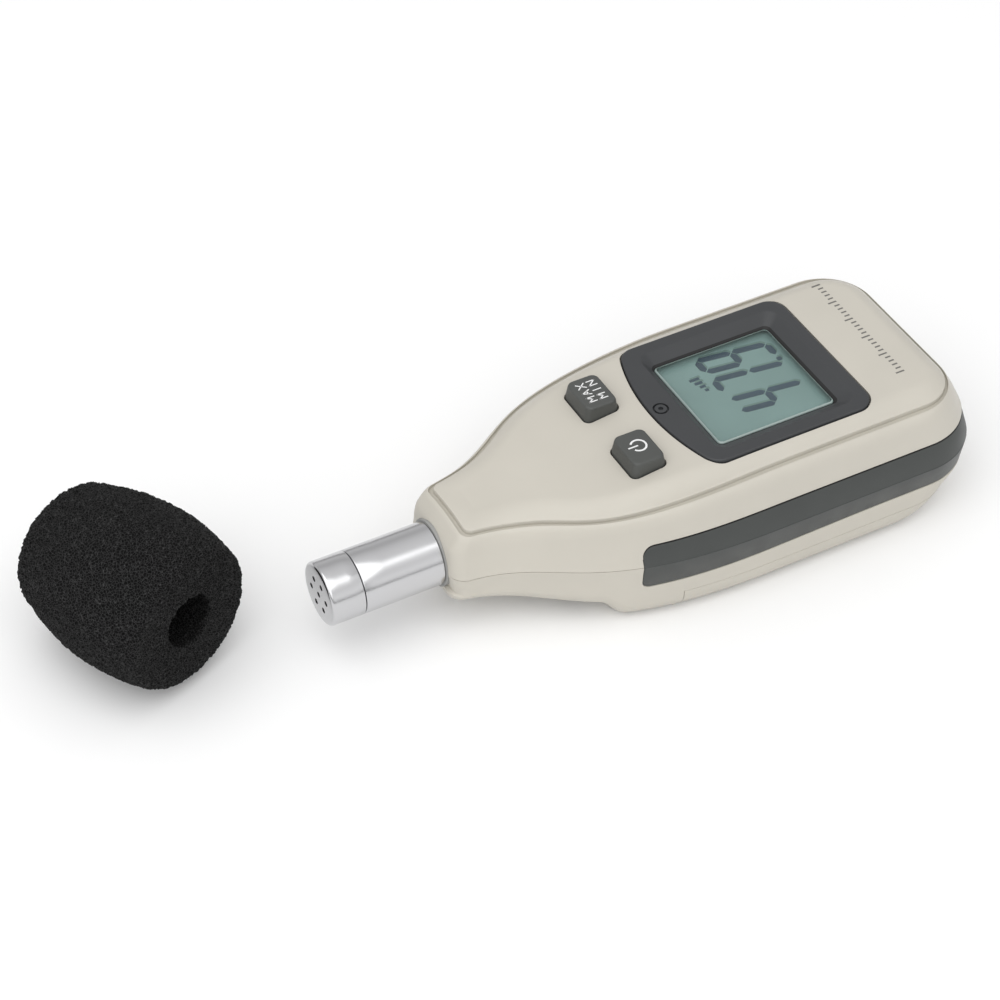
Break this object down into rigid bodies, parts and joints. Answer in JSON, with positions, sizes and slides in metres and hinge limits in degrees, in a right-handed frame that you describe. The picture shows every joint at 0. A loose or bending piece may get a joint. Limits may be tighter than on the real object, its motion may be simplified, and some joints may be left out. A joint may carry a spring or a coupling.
{
  "type": "sound level meter",
  "caption": "Hand-held sound level meter with tapered case, window display, sprung keys, round microphone, slide-off battery cover and a loose foam windscreen.",
  "frame": {"origin": "middle of the flat rest pad on the meter's back", "axes": "+Y along the meter to the microphone, +Z out of the display, +X to the right seen from the display with the microphone up"},
  "size_m": [0.0707, 0.2028, 0.0374],
  "materials": {
    "case": "satin",
    "grip": "satin",
    "bezel": "satin",
    "window": "clear",
    "lcd": "satin",
    "white_plastic": "matte",
    "connector_rubber": "matte",
    "board": "satin",
    "chip": "matte",
    "capacitor": "gloss",
    "trimmer": "satin",
    "switch": "matte",
    "key": "satin",
    "chrome": "polished",
    "gasket": "matte",
    "metal": "satin",
    "wire": "satin",
    "cell": "gloss",
    "foam": "open-cell foam"
  },
  "bodies": {
    "meter": {"front_shell": "case", "rear_shell": "case", "side_grip": "grip", "display_bezel": "bezel", "display_window": "window", "lcd_panel": "lcd", "lcd_holder": "white_plastic", "zebra_strip": "connector_rubber", "circuit_board": "board", "controller_chip": "chip", "amplifier_chip": "chip", "clock_crystal": "metal", "capacitors": "capacitor", "resistors": "chip", "gain_trimmer": "trimmer", "key_switches": "switch", "mic_tube": "chrome", "mic_cap": "chrome", "mic_gasket": "gasket", "mic_capsule": "metal", "capsule_sleeve": "switch", "mic_leads": "wire", "battery_1": "cell", "battery_2": "cell", "battery_3": "cell", "battery_springs": "metal", "battery_plates": "metal", "battery_leads": "wire", "case_screws": "metal", "board_screws": "metal"},
    "maxmin_button": {"maxmin_key": "key", "maxmin_plunger": "switch"},
    "power_button": {"power_key": "key", "power_plunger": "switch"},
    "cover": {"battery_cover": "case"},
    "foam": {"windscreen": "foam"}
  },
  "joints": [
    {"name": "maxmin_press", "type": "slide", "parent": "meter", "child": "maxmin_button", "axis": [0, 0, -1], "range_m": [0, 0.0008], "stiffness_N_per_m": 900, "springref_m": -0.0006},
    {"name": "power_press", "type": "slide", "parent": "meter", "child": "power_button", "axis": [0, 0, -1], "range_m": [0, 0.0008], "stiffness_N_per_m": 900, "springref_m": -0.0006},
    {"name": "cover_slide", "type": "slide", "parent": "meter", "child": "cover", "axis": [0, -1, 0], "range_m": [0, 0.085]},
    {"name": "windscreen_lift", "type": "slide", "parent": "meter", "child": "foam", "axis": [0, 0, 1], "range_m": [0, 0.06]}
  ]
}
